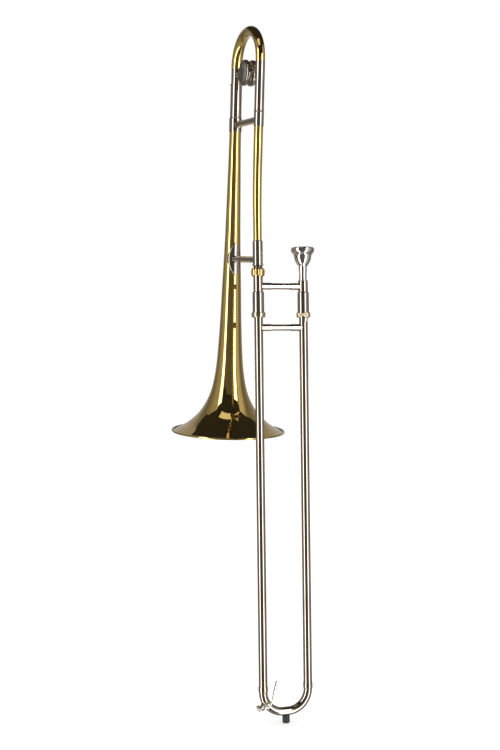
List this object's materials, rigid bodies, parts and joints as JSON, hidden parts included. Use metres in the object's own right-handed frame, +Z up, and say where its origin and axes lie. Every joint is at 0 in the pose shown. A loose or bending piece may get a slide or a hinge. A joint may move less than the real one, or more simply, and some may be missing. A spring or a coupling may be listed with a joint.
{
  "type": "tenor trombone",
  "caption": "Straight tenor trombone with slide, tuning slide, balance discs, water key, slide lock and mouthpiece.",
  "frame": {"origin": "centre of the bell mouth", "axes": "+Z up along the hand slide, away from its bow; +X from the bell-side slide tube to the mouthpiece-side one; +Y from the slide to the bell"},
  "size_m": [0.214, 0.2752, 1.1833],
  "materials": {
    "polished_brass": "clear-lacquered polished brass",
    "pale_brass": "polished pale brass",
    "gold_brass": "knurled gold brass",
    "nickel_silver": "polished nickel silver",
    "silver_plate": "bright silver plate",
    "bright_steel": "bright steel",
    "natural_cork": "natural cork",
    "black_rubber": "matt black rubber"
  },
  "bodies": {
    "bell_section": {"bell": "polished_brass", "bell_rim_wire": "bright_steel", "bell_tail_ferrule": "nickel_silver", "bell_tuning_sleeve": "nickel_silver", "bell_sleeve_ring": "nickel_silver", "neckpipe": "polished_brass", "neckpipe_ferrule": "nickel_silver", "neck_tuning_tube": "nickel_silver", "slide_receiver": "nickel_silver", "upper_brace_rod": "nickel_silver", "upper_brace_bell_collar": "nickel_silver", "upper_brace_neck_collar": "nickel_silver", "lower_brace_rod": "nickel_silver", "lower_brace_bell_collar": "nickel_silver", "lower_brace_neck_collar": "nickel_silver", "lower_brace_flange": "nickel_silver"},
    "tuning_slide": {"tuning_bow": "polished_brass", "tuning_bell_leg": "nickel_silver", "tuning_neck_leg": "nickel_silver", "tuning_brace_rod": "nickel_silver", "tuning_brace_bell_collar": "nickel_silver", "tuning_brace_neck_collar": "nickel_silver", "balance_disc_left": "nickel_silver", "balance_disc_right": "nickel_silver", "balance_screw": "bright_steel"},
    "inner_slide": {"slide_tenon": "nickel_silver", "cork_barrel_neck_side": "nickel_silver", "barrel_end_ring": "pale_brass", "barrel_cork_neck_side": "natural_cork", "inner_tube_neck_side": "nickel_silver", "mouthpiece_receiver": "nickel_silver", "cork_barrel_mouth_side": "nickel_silver", "barrel_cork_mouth_side": "natural_cork", "inner_tube_mouth_side": "nickel_silver", "leadpipe": "polished_brass", "hand_brace_rod": "nickel_silver", "hand_brace_neck_socket": "nickel_silver", "hand_brace_mouth_socket": "nickel_silver"},
    "lock_nut": {"lock_nut": "gold_brass"},
    "slide_lock": {"slide_lock_ring": "pale_brass"},
    "mouthpiece": {"mouthpiece": "silver_plate"},
    "outer_slide": {"outer_tube_neck_side": "nickel_silver", "outer_tube_mouth_side": "nickel_silver", "outer_top_ferrule_neck_side": "nickel_silver", "outer_top_ferrule_mouth_side": "nickel_silver", "slide_lock_stud": "silver_plate", "slide_brace_rod": "nickel_silver", "slide_brace_neck_socket": "nickel_silver", "slide_brace_mouth_socket": "nickel_silver", "bow_ferrule_neck_side": "nickel_silver", "bow_ferrule_mouth_side": "nickel_silver", "slide_bow": "nickel_silver", "bumper_holder": "nickel_silver", "bumper_rubber": "black_rubber", "water_key_nipple": "nickel_silver", "water_key_saddle": "nickel_silver", "water_key_screw": "bright_steel", "water_key_spring": "bright_steel"},
    "water_key": {"water_key_lever": "silver_plate", "water_key_cork": "natural_cork"}
  },
  "joints": [
    {"name": "bell_angle", "type": "hinge", "parent": "bell_section", "child": "inner_slide", "pos_m": [0.01218, -0.14499, 0.2872], "axis": [0, 0, 1], "range_deg": [-210, 42]},
    {"name": "tuning_slide_pull", "type": "slide", "parent": "bell_section", "child": "tuning_slide", "axis": [0.0083, -0.0985, 0.9951], "range_m": [0, 0.05]},
    {"name": "lock_nut_turn", "type": "hinge", "parent": "inner_slide", "child": "lock_nut", "pos_m": [0.01218, -0.14499, 0.275], "axis": [0, 0, 1], "range_deg": [0, 900]},
    {"name": "slide_lock_turn", "type": "hinge", "parent": "inner_slide", "child": "slide_lock", "pos_m": [0.09268, -0.14499, 0.203], "axis": [0, 0, 1], "range_deg": [0, 40]},
    {"name": "mouthpiece_pull", "type": "slide", "parent": "inner_slide", "child": "mouthpiece", "axis": [0, 0, 1], "range_m": [0, 0.03]},
    {"name": "hand_slide", "type": "slide", "parent": "inner_slide", "child": "outer_slide", "axis": [0, 0, -1], "range_m": [0, 0.6]},
    {"name": "water_key_press", "type": "hinge", "parent": "outer_slide", "child": "water_key", "pos_m": [0.014, -0.15679, -0.45369], "axis": [-0.515, 0, 0.8572], "range_deg": [0, 14], "stiffness_Nm_per_rad": 0.3, "springref_deg": -17.19}
  ]
}
